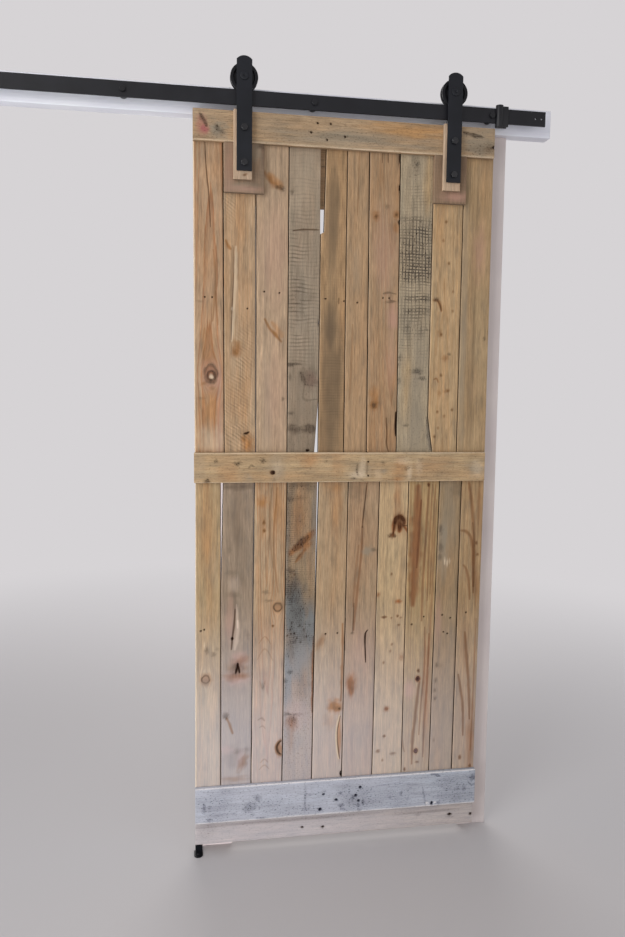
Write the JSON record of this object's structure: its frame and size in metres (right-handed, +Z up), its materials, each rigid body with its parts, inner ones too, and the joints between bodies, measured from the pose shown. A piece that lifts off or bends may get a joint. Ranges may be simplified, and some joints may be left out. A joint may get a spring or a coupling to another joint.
{
  "type": "sliding barn door",
  "caption": "Plank door leaf of reclaimed boards that hangs by strap hangers with grooved wheels from a flat steel track on a painted header board, with doorway casing and floor guide.",
  "frame": {"origin": "middle of the header board's flat back face, where it lies on the wall", "axes": "+X right along the wall as seen from the front, +Y into the wall, +Z up"},
  "size_m": [1.9, 0.0985, 2.2318],
  "materials": {
    "header_paint": "satin white paint on wood",
    "casing_paint": "satin white paint on wood",
    "track_finish": "matte black coating",
    "hardware_finish": "matte black coating",
    "strap_finish": "matte black coating",
    "wheel_finish": "satin black coating",
    "bearing_steel": "dull steel",
    "screw_steel": "dull steel",
    "back_boards": "raw reclaimed board",
    "backing_boards": "raw reclaimed board",
    "packing_strips": "raw wood",
    "upper_board_1": "raw reclaimed board",
    "upper_board_2": "raw reclaimed board",
    "upper_board_3": "raw reclaimed board",
    "upper_board_4": "raw reclaimed board",
    "upper_board_5": "raw reclaimed board",
    "upper_board_6": "raw reclaimed board",
    "upper_board_7": "raw reclaimed board",
    "upper_board_8": "raw reclaimed board",
    "upper_board_9": "raw reclaimed board",
    "upper_board_10": "raw reclaimed board",
    "lower_board_1": "raw reclaimed board",
    "lower_board_2": "raw reclaimed board",
    "lower_board_3": "raw reclaimed board",
    "lower_board_4": "raw reclaimed board",
    "lower_board_5": "raw reclaimed board",
    "lower_board_6": "raw reclaimed board",
    "lower_board_7": "raw reclaimed board",
    "lower_board_8": "raw reclaimed board",
    "lower_board_9": "raw reclaimed board",
    "lower_board_10": "raw reclaimed board",
    "base_board": "raw reclaimed board",
    "top_rail": "raw reclaimed board",
    "middle_rail": "raw reclaimed board",
    "bottom_rail": "raw reclaimed board"
  },
  "bodies": {
    "frame": {"header_board": "header_paint", "casing_left": "casing_paint", "casing_right": "casing_paint", "track": "track_finish", "track_spacers": "hardware_finish", "track_bolts": "hardware_finish", "stop_left": "hardware_finish", "stop_right": "hardware_finish", "stop_screws": "hardware_finish", "floor_guide": "hardware_finish", "floor_guide_screw": "hardware_finish"},
    "door": {"hanger_strap_left": "strap_finish", "hanger_strap_right": "strap_finish", "hanger_bolts": "hardware_finish", "hanger_nuts": "hardware_finish", "axle_left": "hardware_finish", "axle_right": "hardware_finish", "axle_bushes": "hardware_finish", "axle_nuts": "hardware_finish", "upper_board_1": "upper_board_1", "upper_board_2": "upper_board_2", "upper_board_3": "upper_board_3", "upper_board_4": "upper_board_4", "upper_board_5": "upper_board_5", "upper_board_6": "upper_board_6", "upper_board_7": "upper_board_7", "upper_board_8": "upper_board_8", "upper_board_9": "upper_board_9", "upper_board_10": "upper_board_10", "lower_board_1": "lower_board_1", "lower_board_2": "lower_board_2", "lower_board_3": "lower_board_3", "lower_board_4": "lower_board_4", "lower_board_5": "lower_board_5", "lower_board_6": "lower_board_6", "lower_board_7": "lower_board_7", "lower_board_8": "lower_board_8", "lower_board_9": "lower_board_9", "lower_board_10": "lower_board_10", "base_board": "base_board", "top_rail": "top_rail", "middle_rail": "middle_rail", "bottom_rail": "bottom_rail", "back_rail_top": "back_boards", "back_rail_second": "back_boards", "back_rail_middle": "back_boards", "back_rail_bottom": "back_boards", "backing_plate_left": "backing_boards", "backing_plate_right": "backing_boards", "strap_strip_left": "packing_strips", "strap_strip_right": "packing_strips", "board_screws": "screw_steel"},
    "wheel_left": {"wheel_left": "wheel_finish", "bearing_left": "bearing_steel"},
    "wheel_right": {"wheel_right": "wheel_finish", "bearing_right": "bearing_steel"}
  },
  "joints": [
    {"name": "door_slide", "type": "slide", "parent": "frame", "child": "door", "axis": [1, 0, 0], "range_m": [-0.797, 0.0925]},
    {"name": "wheel_left_turn", "type": "hinge", "parent": "door", "child": "wheel_left", "pos_m": [0.062, -0.075, 0.0508], "axis": [0, 1, 0], "continuous": true},
    {"name": "wheel_right_turn", "type": "hinge", "parent": "door", "child": "wheel_right", "pos_m": [0.6432, -0.075, 0.0508], "axis": [0, 1, 0], "continuous": true}
  ],
  "couplings": [
    {"joint": "wheel_left_turn", "follows": "door_slide", "rad_per_m": 32.787},
    {"joint": "wheel_right_turn", "follows": "door_slide", "rad_per_m": 32.787}
  ]
}
